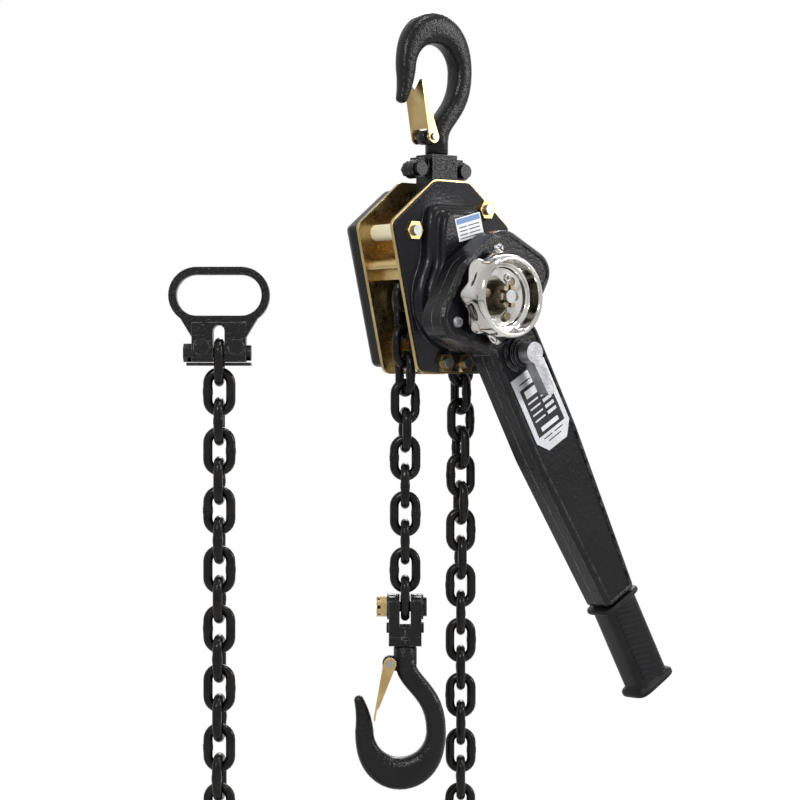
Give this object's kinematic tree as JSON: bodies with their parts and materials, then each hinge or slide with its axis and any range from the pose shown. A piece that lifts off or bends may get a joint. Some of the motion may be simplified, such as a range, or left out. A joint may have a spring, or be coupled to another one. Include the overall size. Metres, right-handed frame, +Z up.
{
  "type": "lever chain hoist",
  "caption": "Lever chain hoist: swivel hooks with latches at top and bottom, side plates round a chain sheave, chromed handwheel, ratchet lever with grip, and slack chain ending in an oval ring",
  "frame": {"origin": "the saddle of the top hook's bowl, where the hoist hangs", "axes": "+Z up along the load line, the shafts lie along Y with the handwheel towards -Y, +X to the right, where the lever points"},
  "size_m": [0.4855, 0.1542, 0.8169],
  "materials": {
    "hook_paint": "satin hammered",
    "black_casting": "satin",
    "cover_paint": "satin hammered",
    "lever_paint": "satin hammered",
    "black_fastener": "satin",
    "yellow_zinc": "passivated",
    "steel": "machined",
    "tube_cream": "satin",
    "label_film": "satin",
    "sheave_iron": "oiled",
    "friction_lining": "matt",
    "wheel_chrome": "bright",
    "dark_nut": "oiled",
    "zinc_screw": "bright",
    "grip_rubber": "matt",
    "tag_aluminium": "satin",
    "chain_black": "satin"
  },
  "bodies": {
    "top_hook": {"top_hook": "hook_paint", "top_latch_pin": "steel", "top_latch_spring": "steel"},
    "top_latch": {"top_latch": "yellow_zinc"},
    "top_yoke": {"yoke_front_half": "black_casting", "yoke_rear_half": "black_casting", "yoke_bolts": "black_fastener"},
    "frame": {"yoke_pin": "steel", "front_plate": "yellow_zinc", "rear_plate": "yellow_zinc", "stay_bolts": "steel", "stay_tubes": "tube_cream", "stay_nuts": "yellow_zinc", "gear_cover": "cover_paint", "brake_cover": "cover_paint", "cover_label": "label_film", "sheave_bearings": "steel", "ratchet_disc": "steel", "pawl_pins": "steel", "chain_guide": "yellow_zinc", "chain_stripper": "yellow_zinc"},
    "sheave": {"load_sheave": "sheave_iron", "load_gear": "steel", "sheave_links": "chain_black"},
    "upper_idler": {"upper_idler": "steel"},
    "lower_idler": {"lower_idler": "steel"},
    "wheel": {"drive_shaft": "steel", "brake_hub": "steel", "inner_friction_disc": "friction_lining", "outer_friction_disc": "friction_lining", "change_gear": "steel", "handwheel": "wheel_chrome", "castle_nut": "dark_nut", "split_pin": "wheel_chrome", "wheel_screws": "dark_nut"},
    "left_pawl": {"left_pawl": "steel"},
    "right_pawl": {"right_pawl": "steel"},
    "lever": {"lever_rear_shell": "lever_paint", "lever_front_shell": "lever_paint", "lever_screws": "zinc_screw", "grip": "grip_rubber", "rating_plate": "tag_aluminium"},
    "selector": {"selector_lever": "zinc_screw", "change_pawl": "steel"},
    "load_strand": {"load_chain": "chain_black"},
    "bottom_yoke": {"low_yoke_left": "black_casting", "low_yoke_right": "black_casting", "low_yoke_rivets": "black_fastener", "chain_pin": "black_fastener", "chain_pin_nut": "yellow_zinc"},
    "bottom_hook": {"bottom_hook": "hook_paint", "bottom_latch_pin": "steel", "bottom_latch_spring": "steel"},
    "bottom_latch": {"bottom_latch": "yellow_zinc"},
    "tail_strand": {"tail_chain": "chain_black", "chain_loop": "chain_black", "ring_chain": "chain_black"},
    "tail_ring": {"tail_ring": "black_casting", "ring_bolt": "black_fastener"}
  },
  "joints": [
    {"name": "top_swivel", "type": "hinge", "parent": "top_hook", "child": "top_yoke", "pos_m": [0, 0, -0.1], "axis": [0, 0, 1], "continuous": true},
    {"name": "top_latch_hinge", "type": "hinge", "parent": "top_hook", "child": "top_latch", "pos_m": [-0.013, 0, -0.08], "axis": [0, 1, 0], "range_deg": [0, 26], "stiffness_Nm_per_rad": 0.05, "springref_deg": -28.65},
    {"name": "frame_tilt", "type": "hinge", "parent": "top_yoke", "child": "frame", "pos_m": [0, 0, -0.134], "axis": [0, 1, 0], "range_deg": [-12, 12]},
    {"name": "wheel_turn", "type": "hinge", "parent": "frame", "child": "wheel", "pos_m": [-0.004, -0.06, -0.22], "axis": [0, 1, 0], "range_deg": [-90, 90]},
    {"name": "sheave_turn", "type": "hinge", "parent": "frame", "child": "sheave", "pos_m": [-0.004, 0, -0.22], "axis": [0, 1, 0], "range_deg": [-6.2, 6.2]},
    {"name": "upper_idler_turn", "type": "hinge", "parent": "frame", "child": "upper_idler", "pos_m": [-0.004, 0.03, -0.1881], "axis": [0, 1, 0], "range_deg": [-24, 24]},
    {"name": "lower_idler_turn", "type": "hinge", "parent": "frame", "child": "lower_idler", "pos_m": [-0.004, 0.03, -0.2519], "axis": [0, 1, 0], "range_deg": [-24, 24]},
    {"name": "load_slide", "type": "slide", "parent": "frame", "child": "load_strand", "axis": [0, 0, 1], "range_m": [-0.0034, 0.0034]},
    {"name": "tail_slide", "type": "slide", "parent": "frame", "child": "tail_strand", "axis": [0, 0, 1], "range_m": [-0.0034, 0.0034]},
    {"name": "left_pawl_hinge", "type": "hinge", "parent": "frame", "child": "left_pawl", "pos_m": [-0.035, -0.034, -0.21], "axis": [0, 1, 0], "range_deg": [0, 12], "stiffness_Nm_per_rad": 0.02, "springref_deg": -17.19},
    {"name": "right_pawl_hinge", "type": "hinge", "parent": "frame", "child": "right_pawl", "pos_m": [0.027, -0.034, -0.23], "axis": [0, 1, 0], "range_deg": [0, 12], "stiffness_Nm_per_rad": 0.02, "springref_deg": -17.19},
    {"name": "lever_swing", "type": "hinge", "parent": "frame", "child": "lever", "pos_m": [-0.004, -0.057, -0.22], "axis": [0, 1, 0], "continuous": true},
    {"name": "selector_turn", "type": "hinge", "parent": "lever", "child": "selector", "pos_m": [0.02746, -0.06, -0.2665], "axis": [0, 1, 0], "range_deg": [-20, 20]},
    {"name": "bottom_yoke_tilt", "type": "hinge", "parent": "load_strand", "child": "bottom_yoke", "pos_m": [-0.03567, 0, -0.4836], "axis": [0.766, -0.6428, 0], "range_deg": [-5, 5]},
    {"name": "bottom_swivel", "type": "hinge", "parent": "bottom_yoke", "child": "bottom_hook", "pos_m": [-0.03567, 0, -0.5081], "axis": [0, 0, 1], "continuous": true},
    {"name": "bottom_latch_hinge", "type": "hinge", "parent": "bottom_hook", "child": "bottom_latch", "pos_m": [-0.04563, 0.00836, -0.5321], "axis": [0.6428, 0.766, 0], "range_deg": [-26, 0], "stiffness_Nm_per_rad": 0.05, "springref_deg": 28.65},
    {"name": "ring_tilt", "type": "hinge", "parent": "tail_strand", "child": "tail_ring", "pos_m": [-0.23244, 0, -0.2684], "axis": [0.766, -0.6428, 0], "range_deg": [-12, 12]}
  ],
  "couplings": [
    {"joint": "upper_idler_turn", "follows": "wheel_turn", "ratio": -0.26087},
    {"joint": "lower_idler_turn", "follows": "wheel_turn", "ratio": -0.26087},
    {"joint": "sheave_turn", "follows": "wheel_turn", "ratio": 0.068053},
    {"joint": "load_slide", "follows": "wheel_turn", "m_per_rad": 0.0021552},
    {"joint": "tail_slide", "follows": "wheel_turn", "m_per_rad": -0.0021552}
  ]
}
